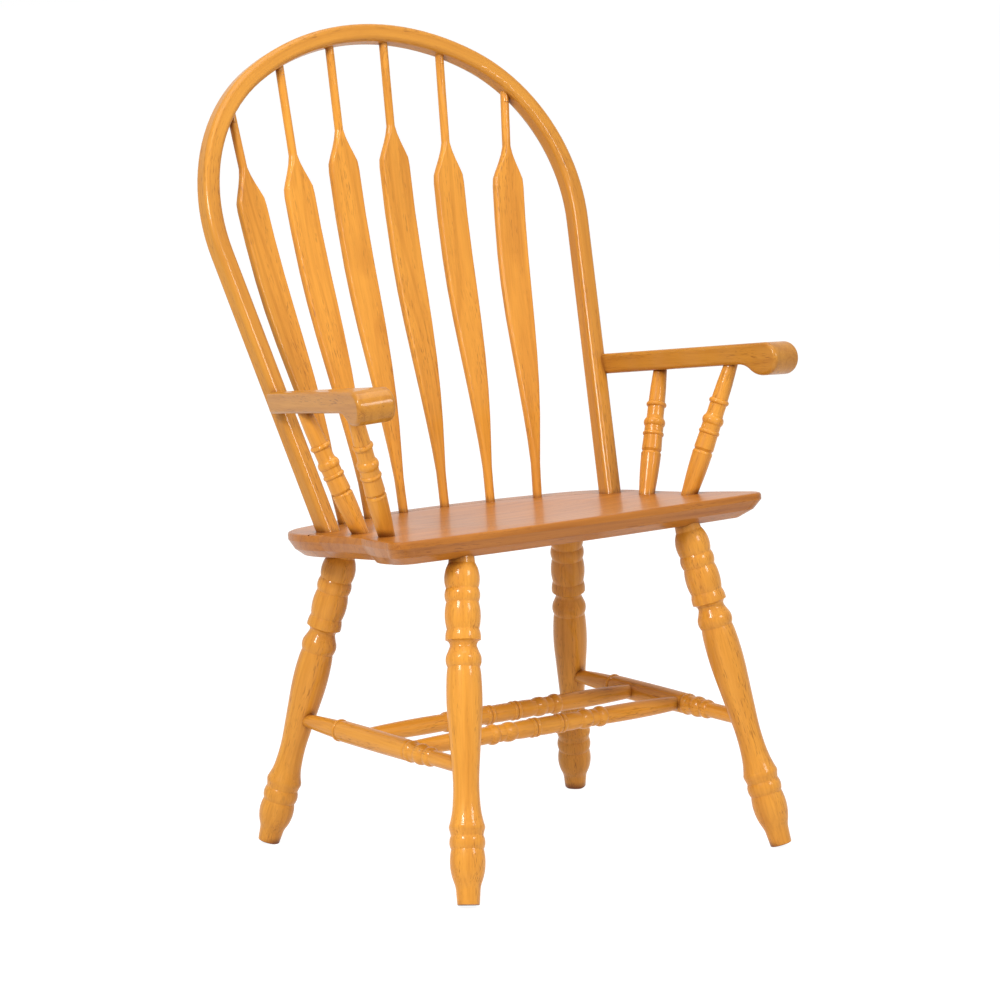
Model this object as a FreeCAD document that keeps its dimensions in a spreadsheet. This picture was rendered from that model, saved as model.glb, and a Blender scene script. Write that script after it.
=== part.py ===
"""Bow-back dining armchair with six arrow spindles, turned legs, posts and stretchers.

Millimetres. The origin is on the floor under the middle of the chair's width and depth: +Z is up, the
sitter faces -Y and the sitter's left hand is on +X. The left-hand pieces are built and
the right-hand ones are their mirror images.
"""
import FreeCAD, Part
import math
import os

import Sketcher

os.makedirs("parts", exist_ok=True)
doc = FreeCAD.newDocument("bow_back_armchair")
V = FreeCAD.Vector

# Driving dimensions
SIZES = {
    # the origin's distance behind the middle of the four feet
    "depth_middle": 75.5,
    # seat board, its own plane tipped down towards the back
    "seat_height": 436.0,
    "seat_tilt": 6.5,
    "seat_thick": 31.0,
    "seat_front_half": 300.0,
    "seat_front_reach": 131.0,
    "seat_front_bow": 13.0,
    "seat_corner_round": 24.0,
    "seat_waist_half": 269.0,
    "seat_waist_back": 30.0,
    "seat_hip_half": 270.5,
    "seat_hip_back": 125.0,
    "seat_back_reach": 245.0,
    "seat_shoulder_half": 212.0,
    "seat_shoulder_back": 203.0,
    "seat_edge_upright": 9.0,
    "seat_edge_inset": 22.0,
    "seat_edge_round": 3.0,
    "dish_depth": 4.0,
    "dish_radius": 165.0,
    "score_width": 2.4,
    "score_depth": 1.4,
    "score_side_back": 98.0,
    # round tenons and their blind sockets
    "fit_gap": 0.1,
    "end_gap": 1.0,
    "leg_tenon_dia": 22.0,
    "leg_tenon_len": 18.0,
    "post_tenon_dia": 15.0,
    "post_tenon_len": 16.0,
    "arm_tenon_dia": 12.0,
    "arm_tenon_len": 13.0,
    "bow_tenon_dia": 17.0,
    "bow_tenon_len": 18.0,
    "spindle_tenon_dia": 9.0,
    "spindle_tenon_len": 12.0,
    "stretcher_tenon_dia": 12.0,
    "stretcher_tenon_len": 10.0,
    "cross_tenon_dia": 11.0,
    "cross_tenon_len": 8.0,
    # where the legs stand and where they enter the seat
    "foot_half": 255.5,
    "foot_reach": 213.4,
    "leg_top_half": 183.0,
    "front_leg_top": 102.9,
    "rear_leg_top": 148.5,
    "foot_flat": 1.2,
    # leg turning, heights taken up from the foot
    "front_foot_len": 69.2,
    "rear_foot_len": 56.2,
    "ankle_ring_len": 17.1,
    "leg_head_len": 138.0,
    "collar_len": 27.5,
    "cove_len": 20.0,
    "ball_len": 33.8,
    "head_ring_len": 17.2,
    "leg_dia": 45.2,
    "leg_groove_dia": 40.8,
    "leg_neck_dia": 34.6,
    "leg_step_dia": 40.2,
    "leg_waist_dia": 32.7,
    "leg_foot_dia": 28.0,
    "leg_ankle_dia": 30.2,
    "leg_top_dia": 30.0,
    # side stretchers
    "stretcher_height": 166.0,
    "stretcher_barrel_dia": 28.0,
    "stretcher_end_dia": 16.5,
    "stretcher_front_dia": 19.0,
    "stretcher_ring_dia": 29.2,
    "stretcher_bead_dia": 25.0,
    "stretcher_rear_ring": 92.0,
    "stretcher_front_rings": 66.0,
    # cross stretchers
    "cross_front_reach": 45.0,
    "cross_rear_back": 50.0,
    "cross_ring_dia": 27.0,
    "cross_body_dia": 23.5,
    "cross_groove_dia": 21.5,
    "cross_end_dia": 17.0,
    # back bow, drawn in its own reclined plane
    "bow_foot_half": 231.2,
    "bow_foot_back": 111.5,
    "bow_recline": 22.65,
    "bow_flare": 9.03,
    "bow_shoulder_radius": 226.6,
    "bow_crown_radius": 363.6,
    "bow_rise": 654.55,
    "bow_width": 24.0,
    "bow_thick": 26.0,
    "bow_round": 7.0,
    # arrow spindles
    "spindle_arc_back": 217.5,
    "spindle_arc_radius": 340.0,
    "spindle_inner_foot": 34.0,
    "spindle_mid_foot": 100.0,
    "spindle_outer_foot": 160.0,
    "spindle_inner_top": 44.3,
    "spindle_mid_top": 131.5,
    "spindle_outer_top": 225.0,
    "spindle_inner_shoulder": 462.0,
    "spindle_mid_shoulder": 436.0,
    "spindle_outer_shoulder": 429.0,
    "spindle_foot_dia": 12.0,
    "spindle_top_dia": 11.0,
    "paddle_width": 46.0,
    "paddle_thick": 10.0,
    "paddle_round": 3.4,
    "paddle_start": 50.0,
    "paddle_full": 330.0,
    "shoulder_len": 48.0,
    "spindle_belly": 8.0,
    "spindle_crook": 6.0,
    "spindle_hook": 1.8,
    "spindle_mid_turn": 1.3,
    "spindle_outer_turn": 4.6,
    # arms
    "arm_height": 599.0,
    "arm_half": 298.0,
    "arm_yaw": 12.7,
    "arm_pitch": 8.5,
    "arm_roll": 4.6,
    "arm_nose_inside": 24.6,
    "arm_nose_outside": 29.6,
    "arm_back_inside": 0.8,
    "arm_back_outside": 22.0,
    "arm_thick": 26.8,
    "arm_front": 137.5,
    "arm_back": 171.0,
    "arm_nose_high": 43.0,
    "arm_nose_len": 66.0,
    "arm_edge_round": 5.0,
    # arm posts
    "rear_post_half": 234.0,
    "rear_post_back": 37.4,
    "front_post_half": 246.4,
    "front_post_reach": 35.2,
    "rear_post_out": 9.5,
    "rear_post_along": 79.0,
    "front_post_in": 2.5,
    "front_post_along": 48.0,
    # post turning, lengths as on a post this long between its shoulders
    "post_drawn_len": 169.0,
    "post_foot_dia": 21.4,
    "post_dia": 26.8,
    "post_groove_dia": 23.4,
    "post_collar_dia": 23.2,
    "post_top_dia": 16.6,
    "post_swell_len": 57.0,
    "post_band_len": 22.5,
    "post_bead_len": 23.0,
    "post_collar_len": 15.5,
    "post_ring_len": 6.7,
    # screws that draw the arms to the bow, under wooden plugs
    "screw_out": -2.0,
    "screw_dia": 4.0,
    "screw_len": 38.0,
    "screw_head_dia": 8.0,
    "screw_head_len": 3.0,
    "plug_dia": 9.5,
    "plug_len": 6.0,
}

sheet = doc.addObject("Spreadsheet::Sheet", "sizes")
for row, (word, number) in enumerate(SIZES.items(), start=1):
    sheet.set("A%d" % row, word)
    sheet.set("B%d" % row, str(number))
    sheet.setAlias("B%d" % row, word)
doc.recompute()


class Size:
    """A number together with the sheet expression that gives it."""

    def __init__(self, value, text):
        self.value = value
        self.text = text

    def __add__(self, other):
        other = as_size(other)
        return Size(self.value + other.value, "(%s + %s)" % (self.text, other.text))

    def __sub__(self, other):
        other = as_size(other)
        return Size(self.value - other.value, "(%s - %s)" % (self.text, other.text))

    def __rsub__(self, other):
        return as_size(other) - self

    def __neg__(self):
        return as_size(0) - self

    def __mul__(self, other):
        other = as_size(other)
        return Size(self.value * other.value, "(%s * %s)" % (self.text, other.text))

    def __truediv__(self, other):
        other = as_size(other)
        return Size(self.value / other.value, "(%s / %s)" % (self.text, other.text))

    __radd__ = __add__
    __rmul__ = __mul__


def as_size(value):
    return value if isinstance(value, Size) else Size(float(value), "%.6f" % value)


def cell(word):
    return Size(getattr(sheet, word), "sizes." + word)


def root(size):
    return Size(math.sqrt(size.value), "sqrt(%s)" % size.text)


def magnitude(size):
    return Size(abs(size.value), "abs(%s)" % size.text)


def num(word):
    return getattr(sheet, word)


def bind(obj, prop, size):
    size = as_size(size)
    setattr(obj, prop, size.value)
    obj.setExpression(prop, size.text)


# Frames and points shared by the pieces
def turned_to(origin, direction, side=V(1, 0, 0)):
    """Placement whose Z runs along direction and whose X stays as near to side as it can."""
    z = V(direction)
    z.normalize()
    if abs(z.dot(side)) > 0.99:
        side = V(0, 0, 1)
    x = side - z * side.dot(z)
    x.normalize()
    y = z.cross(x)
    return FreeCAD.Placement(FreeCAD.Matrix(
        x.x, y.x, z.x, origin.x,
        x.y, y.y, z.y, origin.y,
        x.z, y.z, z.z, origin.z,
        0, 0, 0, 1))


SEAT = FreeCAD.Placement(V(0, -num("depth_middle"), num("seat_height")), FreeCAD.Rotation(V(1, 0, 0), -num("seat_tilt")))
SEAT_UP = SEAT.Rotation.multVec(V(0, 0, 1))


def on_seat(x, y):
    return SEAT.multVec(V(x, y, 0))


def under_seat(x, y):
    return SEAT.multVec(V(x, y, -num("seat_thick")))


BOW = FreeCAD.Placement(on_seat(0, num("bow_foot_back")), FreeCAD.Rotation(V(1, 0, 0), -num("bow_recline")))
ARM = FreeCAD.Placement(
    V(num("arm_half"), -num("depth_middle"), num("arm_height")),
    FreeCAD.Rotation(V(0, 0, 1), num("arm_yaw"))
    * FreeCAD.Rotation(V(1, 0, 0), -num("arm_pitch"))
    * FreeCAD.Rotation(V(0, 1, 0), num("arm_roll")))


# Builders
def plane_of(body, role):
    return [f for f in body.Origin.OriginFeatures if f.Role == role][0]


def arc_radius(start, via, end):
    """Radius of the circle through three (x, y) points of Size objects."""
    def between(p, q):
        return q[0] - p[0], q[1] - p[1]

    def length(step):
        return root(step[0] * step[0] + step[1] * step[1])

    first, second, chord = between(start, via), between(via, end), between(start, end)
    twice_area = magnitude(first[0] * chord[1] - first[1] * chord[0])
    return length(first) * length(second) * length(chord) / (2 * twice_area)


def outline_sketch(owner, name, role, vertices):
    """Closed sketch of lines and arcs whose every vertex and radius is bound to the sheet.

    A vertex is (x, y) for a line to it, or (x, y, via_x, via_y) for an arc to it that bends
    through the via point; a fifth entry gives that arc's radius instead. Coordinates are
    Size objects or numbers.
    """
    if role:
        sketch = owner.newObject("Sketcher::SketchObject", name)
        sketch.AttachmentSupport = (plane_of(owner, role), [""])
        sketch.MapMode = "FlatFace"
    else:
        sketch = doc.addObject("Sketcher::SketchObject", name)
    vertices = [[as_size(c) for c in vertex] for vertex in vertices]
    points = [V(v[0].value, v[1].value, 0) for v in vertices]
    constraints = []
    bound = []
    ends = []
    for i in range(len(vertices)):
        start, end, vertex = points[i - 1], points[i], vertices[i]
        if len(vertex) == 2:
            geo = sketch.addGeometry(Part.LineSegment(start, end), False)
            ends.append((geo, 1, 2))
            continue
        via = V(vertex[2].value, vertex[3].value, 0)
        if (via - start).cross(end - via).z > 0:
            geo = sketch.addGeometry(Part.Arc(start, via, end), False)
            ends.append((geo, 1, 2))
        else:
            geo = sketch.addGeometry(Part.Arc(end, via, start), False)
            ends.append((geo, 2, 1))
        radius = vertex[4] if len(vertex) == 5 else arc_radius(vertices[i - 1], vertex[2:4], vertex)
        constraints.append(Sketcher.Constraint("Radius", geo, radius.value))
        bound.append((len(constraints) - 1, radius.text))
    for i, (geo, first, last) in enumerate(ends):
        for kind, size in zip(("DistanceX", "DistanceY"), vertices[i - 1][:2]):
            if abs(size.value) < 1e-9:
                axis = -2 if kind == "DistanceX" else -1
                constraints.append(Sketcher.Constraint("PointOnObject", geo, first, axis))
            else:
                constraints.append(Sketcher.Constraint(kind, -1, 1, geo, first, size.value))
                bound.append((len(constraints) - 1, size.text))
        following = ends[(i + 1) % len(ends)]
        constraints.append(Sketcher.Constraint("Coincident", geo, last, following[0], following[1]))
    sketch.addConstraint(constraints)
    for index, text in bound:
        sketch.setExpression("Constraints[%d]" % index, text)
    return sketch


def turned(name, profile):
    """Body turned about its own Z axis; the profile is (radius, height[, via_radius, via_height])."""
    body = doc.addObject("PartDesign::Body", name)
    first, last = profile[0], profile[-1]
    vertices = [(0, first[1])] + list(profile) + [(0, last[1])]
    sketch = outline_sketch(body, name + "_profile", "XZ_Plane", vertices)
    spin = body.newObject("PartDesign::Revolution", name + "_spin")
    spin.Profile = sketch
    spin.ReferenceAxis = (sketch, ["V_Axis"])
    spin.Angle = 360.0
    sketch.Visibility = False
    doc.recompute()
    return body


def rod(name, dia, length, start, direction):
    """Plain cylinder from start along direction."""
    piece = doc.addObject("Part::Cylinder", name)
    bind(piece, "Radius", as_size(dia) / 2)
    bind(piece, "Height", length)
    piece.Placement = turned_to(start, direction)
    return piece


def tenon_and_socket(name, kind, shoulder, direction, root=10.0):
    """Tenon that starts root inside its own piece and the wider, deeper hole that takes it."""
    along = V(direction)
    along.normalize()
    dia, length = cell(kind + "_tenon_dia"), cell(kind + "_tenon_len")
    tenon = rod(name + "_tenon", dia, length + root, shoulder - along * root, along)
    hole = rod(name + "_socket", dia + 2 * cell("fit_gap"), length + cell("end_gap") + root,
               shoulder - along * root, along)
    return tenon, hole


def cut(name, base, tools):
    """Base less every tool."""
    tools = [t for t in tools if t is not None]
    if len(tools) == 1:
        tool = tools[0]
    else:
        tool = doc.addObject("Part::Compound", name + "_tools")
        tool.Links = tools
    piece = doc.addObject("Part::Cut", name)
    piece.Base = base
    piece.Tool = tool
    return piece


def fuse(name, pieces):
    piece = doc.addObject("Part::MultiFuse", name)
    piece.Shapes = pieces
    return piece


def mirrored(name, source):
    piece = doc.addObject("Part::Mirroring", name)
    piece.Source = source
    piece.Normal = V(1, 0, 0)
    piece.Base = V(0, 0, 0)
    return piece


# Seat board before its sockets
def seat_outline(body, name, inset, drop):
    """Outline of the board drawn in by inset, drop below its top face."""
    front, back = cell("seat_front_reach") - inset, cell("seat_back_reach") - inset
    corner, waist, hip = (cell("seat_" + k + "_half") - inset for k in ("front", "waist", "hip"))
    shoulder, shoulder_back = cell("seat_shoulder_half") - inset * 0.5, cell("seat_shoulder_back") - inset * 0.9
    waist_back, hip_back = cell("seat_waist_back"), cell("seat_hip_back")
    nose = cell("seat_corner_round")
    right = [
        (corner - nose, 0 - front, 0, 0 - front - cell("seat_front_bow")),
        (corner - 3.0, nose + 4.0 - front, corner - nose * 0.27, nose * 0.27 - front),
        (waist + 2.0, waist_back - 44.0, (corner + waist) / 2, 78.0 - front),
        (hip - 2.0, hip_back - 45.0, waist, waist_back),
        (hip - 9.0, hip_back + 30.0, hip, hip_back - 5.0),
        (shoulder, shoulder_back, hip - 27.0, hip_back + 57.0 - inset * 0.5),
    ]
    left = []
    for index in range(len(right) - 1, 0, -1):
        x, y = right[index - 1][:2]
        via_x, via_y = right[index][2:]
        left.append((0 - x, y, 0 - via_x, via_y))
    across = (0 - shoulder, shoulder_back, 0, back)
    sketch = outline_sketch(body, name, "XY_Plane", right + [across] + left)
    sketch.AttachmentOffset = FreeCAD.Placement(V(0, 0, -drop.value), FreeCAD.Rotation())
    sketch.setExpression("AttachmentOffset.Base.z", "0 - " + drop.text)
    return sketch


def seat_blank():
    upright, thick, inset = cell("seat_edge_upright"), cell("seat_thick"), cell("seat_edge_inset")
    soft = cell("seat_edge_round")
    body = doc.addObject("PartDesign::Body", "seat_blank")
    board = body.newObject("PartDesign::AdditiveLoft", "seat_board")
    board.Profile = seat_outline(body, "seat_top_outline", soft, as_size(0))
    board.Sections = [
        (seat_outline(body, "seat_soft_outline", soft * 0.3, soft * 0.3), [""]),
        (seat_outline(body, "seat_edge_outline", as_size(0), soft), [""]),
        (seat_outline(body, "seat_upright_outline", as_size(0), upright), [""]),
        (seat_outline(body, "seat_bevel_outline", inset * 0.35, upright + (thick - upright) * 0.55), [""]),
        (seat_outline(body, "seat_under_outline", inset, thick), [""]),
    ]
    board.Ruled = True
    body.Placement = SEAT
    doc.recompute()
    return body


def dish():
    """Shallow round hollow for the sitter, a slice of a big ball."""
    ball = doc.addObject("Part::Sphere", "seat_dish")
    depth, radius = cell("dish_depth"), cell("dish_radius")
    bind(ball, "Radius", (radius * radius + depth * depth) / (2 * depth))
    ball.Placement = FreeCAD.Placement(SEAT.multVec(V(0, 30, ball.Radius.Value - num("dish_depth"))), SEAT.Rotation)
    return ball


def score_line():
    """Groove scored in the seat through the feet of the bow and the spindles."""
    half = cell("score_width") / 2
    foot_half, foot_back = cell("bow_foot_half"), cell("bow_foot_back")
    outer, arc_back = cell("spindle_outer_foot"), cell("spindle_arc_back")
    side_back = cell("score_side_back")
    sag = 39.4
    front = [(foot_half + 49.0, side_back - half), (foot_half, foot_back - half)]
    rear = [
        (outer, arc_back - sag - half, foot_half - 32.0, foot_back + 36.0 - half),
        (0 - outer, arc_back - sag - half, 0, arc_back - half),
        (0 - foot_half, foot_back - half, 32.0 - foot_half, foot_back + 36.0 - half),
        (-49.0 - foot_half, side_back - half),
        (-49.0 - foot_half, side_back + half),
        (0 - foot_half, foot_back + half),
        (0 - outer, arc_back - sag + half, 32.0 - foot_half, foot_back + 36.0 + half),
        (outer, arc_back - sag + half, 0, arc_back + half),
        (foot_half, foot_back + half, foot_half - 32.0, foot_back + 36.0 + half),
        (foot_half + 49.0, side_back + half),
    ]
    body = doc.addObject("PartDesign::Body", "seat_score")
    sketch = outline_sketch(body, "score_outline", "XY_Plane", front + rear)
    pad = body.newObject("PartDesign::Pad", "score_depth_pad")
    pad.Profile = sketch
    bind(pad, "Length", cell("score_depth") * 2)
    pad.Midplane = True
    body.Placement = SEAT
    return body


# Turned legs
def leg_profile(foot_len, leg_len):
    """Foot, ankle ring, shaft and head; the shaft takes what length is left."""
    head_len = cell("leg_head_len")
    ring = cell("ankle_ring_len")
    fat, groove = cell("leg_dia") / 2, cell("leg_groove_dia") / 2
    neck, step, waist = cell("leg_neck_dia") / 2, cell("leg_step_dia") / 2, cell("leg_waist_dia") / 2
    foot, ankle = cell("leg_foot_dia") / 2, cell("leg_ankle_dia") / 2
    low = foot_len + ring
    high = leg_len - head_len
    shaft = high - low
    cove = high + cell("collar_len")
    ball_low = cove + cell("cove_len")
    ball_high = ball_low + cell("ball_len")
    head = ball_high + cell("head_ring_len")
    return [
        (foot - 0.8, 0),
        (foot, 0.8),
        (ankle, foot_len * 0.22),
        (ankle + 3.0, foot_len * 0.43, ankle + 0.7, foot_len * 0.32),
        (groove, foot_len, fat - 0.4, foot_len * 0.77),
        (groove, low, fat - 0.2, foot_len + ring / 2),
        (fat - 0.9, low + 6.0),
        (fat - 0.9, low + 14.0, fat, low + 10.0),
        (waist + 1.0, low + shaft * 0.18, waist + 2.7, low + shaft * 0.12),
        (waist + 0.9, low + shaft * 0.40, waist, low + shaft * 0.28),
        (fat - 1.5, low + shaft * 0.66),
        (fat - 0.7, high - 12.0, fat, low + shaft * 0.81),
        (groove, high, fat - 1.4, high - 5.0),
        (step, high + 18.0, fat, high + 9.5),
        (neck, cove - 2.5),
        (fat - 0.3, cove + 6.0, neck + 0.7, cove + 3.0),
        (fat - 0.2, cove + 9.0),
        (groove, ball_low, groove + 1.3, ball_low - 4.5),
        (groove, ball_high, fat, (ball_low + ball_high) / 2),
        (groove, head, fat - 0.2, (ball_high + head) / 2),
        (cell("leg_top_dia") / 2 + 2.0, leg_len - 8.0, fat - 0.3, head + 13.0),
        (cell("leg_top_dia") / 2 - 0.5, leg_len + 14.0),
    ]


def leg(name, top_back, foot_back, foot_len, blank):
    """One left-hand leg: (leg blank, its seat socket, axis start, axis direction)."""
    foot_back -= num("depth_middle")
    top = under_seat(num("leg_top_half"), top_back)
    lean = V(num("foot_half") - top.x, foot_back - top.y, -top.z)
    tilt = math.acos(abs(lean.z) / lean.Length)
    lift = num("leg_foot_dia") / 2 * math.sin(tilt) - num("foot_flat")
    floor_point = V(num("foot_half"), foot_back, lift)
    axis = top - floor_point
    length = axis.Length
    body = turned(name + "_turning", leg_profile(foot_len, as_size(length)))
    body.Placement = turned_to(floor_point, axis)
    floor = doc.addObject("Part::Box", name + "_floor")
    for prop in ("Length", "Width", "Height"):
        setattr(floor, prop, 200.0)
    floor.Placement.Base = floor_point + V(-100, -100, -200 - floor_point.z)
    trimmed = cut(name + "_trimmed", body, [floor, blank])
    tenon, socket = tenon_and_socket(name, "leg", top, axis)
    return fuse(name + "_blank", [trimmed, tenon]), socket, floor_point, axis


def axis_at_height(start, axis, height):
    return start + axis * ((height - start.z) / axis.z)


# Stretchers
def side_stretcher_profile(length):
    barrel, end, front = cell("stretcher_barrel_dia") / 2, cell("stretcher_end_dia") / 2, cell("stretcher_front_dia") / 2
    ring, bead = cell("stretcher_ring_dia") / 2, cell("stretcher_bead_dia") / 2
    rear_ring = cell("stretcher_rear_ring")
    rings = length - cell("stretcher_front_rings") - 50.0
    return [
        (end, 0),
        (end + 0.6, 24.0),
        (barrel - 2.2, rear_ring - 8.0, end + 2.4, 52.0),
        (barrel - 1.0, rear_ring - 5.0),
        (barrel - 1.0, rear_ring, ring, rear_ring - 2.5),
        (barrel - 0.3, rear_ring + 5.0),
        (barrel - 0.4, rings - 4.0, barrel, (rear_ring + rings) / 2),
        (barrel - 1.6, rings),
        (barrel - 1.6, rings + 10.0, barrel + 0.2, rings + 5.0),
        (bead - 1.0, rings + 18.0),
        (bead - 1.0, rings + 32.0, bead + 1.2, rings + 25.0),
        (bead - 2.6, rings + 36.0),
        (bead - 2.6, rings + 50.0, bead, rings + 43.0),
        (front + 0.4, length - 34.0),
        (front, length),
    ]


def cross_profile(length):
    ring, body, groove, end = (cell("cross_ring_dia") / 2, cell("cross_body_dia") / 2,
                               cell("cross_groove_dia") / 2, cell("cross_end_dia") / 2)
    middle = length / 2
    half = [
        (groove + 0.6, middle + 15.0, body, middle),
        (groove + 0.6, middle + 21.5, ring - 0.7, middle + 18.5),
        (groove + 0.6, middle + 28.0, ring - 0.7, middle + 25.0),
        (groove, middle + 53.0, body, middle + 40.0),
        (groove, middle + 71.0, ring - 0.6, middle + 62.0),
        (groove, middle + 81.0, body - 0.4, middle + 76.0),
        (groove + 0.4, middle + 95.0, ring, middle + 88.0),
        (body - 0.4, middle + 104.0),
        (end, length, end + 2.6, middle + 160.0),
    ]
    rear = [(end, 0)]
    for index in range(len(half) - 1, 0, -1):
        x, y = half[index - 1][0], half[index - 1][1]
        vertex = (x, length - y)
        if len(half[index]) == 4:
            vertex += (half[index][2], length - half[index][3])
        rear.append(vertex)
    return rear + half


def stretcher(name, profile, start, end, kind, trims):
    """Turned rail from start to end, its ends shaped to the pieces it meets, with a tenon each way."""
    axis = end - start
    body = turned(name + "_turning", profile(as_size(axis.Length)))
    body.Placement = turned_to(start, axis)
    trimmed = cut(name + "_trimmed", body, [t for t, _ in trims])
    tenons = []
    sockets = []
    for label, direction, inset in (("rear", axis * -1, trims[0][1]), ("front", axis, trims[1][1])):
        along = V(direction)
        along.normalize()
        shoulder = (end if label == "front" else start) - along * inset
        tenon, socket = tenon_and_socket(name + "_" + label, kind, shoulder, along)
        tenons.append(tenon)
        sockets.append(socket)
    return fuse(name, [trimmed] + tenons), sockets


# Back bow
def bow_curve():
    """Tangent points of the bow's centreline in its own plane, for x > 0."""
    flare = math.radians(num("bow_flare"))
    up = V(math.sin(flare), 0, math.cos(flare))
    inward = V(-math.cos(flare), 0, math.sin(flare))
    shoulder, crown = num("bow_shoulder_radius"), num("bow_crown_radius")
    crown_centre = V(0, 0, num("bow_rise") - crown)
    foot = V(num("bow_foot_half"), 0, 0)
    gap = foot + inward * shoulder - crown_centre
    reach = crown - shoulder
    straight = -gap.dot(up) + math.sqrt(gap.dot(up) ** 2 - gap.dot(gap) + reach ** 2)
    shoulder_centre = foot + up * straight + inward * shoulder
    spoke = shoulder_centre - crown_centre
    spoke.normalize()
    join = crown_centre + spoke * crown
    bend_start = foot + up * straight
    mid = (bend_start - shoulder_centre) + (join - shoulder_centre)
    mid.normalize()
    return foot, up, bend_start, shoulder_centre + mid * shoulder, join, shoulder_centre


def bow_at(x):
    """Point of the bow's centreline over the given x, in its plane, and the way out from it."""
    join, shoulder_centre = bow_curve()[4:]
    radius = num("bow_crown_radius")
    centre = V(0, 0, num("bow_rise") - radius)
    if x > join.x:
        radius, centre = num("bow_shoulder_radius"), shoulder_centre
    point = V(x, 0, centre.z + math.sqrt(radius ** 2 - (x - centre.x) ** 2))
    return point, (point - centre) * (1 / radius)


def bow_blank(blank):
    """Bent bow with its two legs trimmed to the seat and tenoned into it."""
    foot, up, bend_start, bend_mid, join = bow_curve()[:5]
    crown_top = V(0, 0, num("bow_rise"))
    start = foot - up * 14.0

    def flip(p):
        return V(-p.x, p.y, p.z)

    edges = [
        Part.LineSegment(start, bend_start),
        Part.Arc(bend_start, bend_mid, join),
        Part.Arc(join, crown_top, flip(join)),
        Part.Arc(flip(join), flip(bend_mid), flip(bend_start)),
        Part.LineSegment(flip(bend_start), flip(start)),
    ]
    spine = doc.addObject("Part::Feature", "bow_centreline")
    spine.Shape = Part.Wire([e.toShape() for e in edges])
    width, thick, corner = cell("bow_width") / 2, cell("bow_thick") / 2, cell("bow_round")
    section = rounded_section("bow_section", width, thick, corner)
    section.Placement = turned_to(start, up)
    doc.recompute()
    sweep = doc.addObject("Part::Sweep", "bow_bend")
    sweep.Sections = [section]
    sweep.Spine = (spine, ["Edge%d" % (n + 1) for n in range(len(edges))])
    sweep.Solid = True
    sweep.Frenet = False
    sweep.Placement = BOW
    doc.recompute()
    trimmed = cut("bow_trimmed", sweep, [blank])
    foot_at = BOW.multVec(foot)
    down = BOW.Rotation.multVec(up) * -1
    tenon, socket = tenon_and_socket("bow_left", "bow", foot_at, down)
    other_tenon, other_socket = mirrored("bow_right_tenon", tenon), mirrored("bow_right_socket", socket)
    return fuse("bow_blank", [trimmed, tenon, other_tenon]), [socket, other_socket]


def rounded_section(name, width, thick, corner):
    """Rectangle with rounded corners about the sketch's origin, from half sizes."""
    bulge = corner * (1 - math.sqrt(0.5))
    return outline_sketch(doc, name, None, [
        (width, thick - corner),
        (width - corner, thick, width - bulge, thick - bulge),
        (corner - width, thick),
        (0 - width, thick - corner, bulge - width, thick - bulge),
        (0 - width, corner - thick),
        (corner - width, 0 - thick, bulge - width, bulge - thick),
        (width - corner, 0 - thick),
        (width, corner - thick, width - bulge, bulge - thick),
    ])


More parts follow.
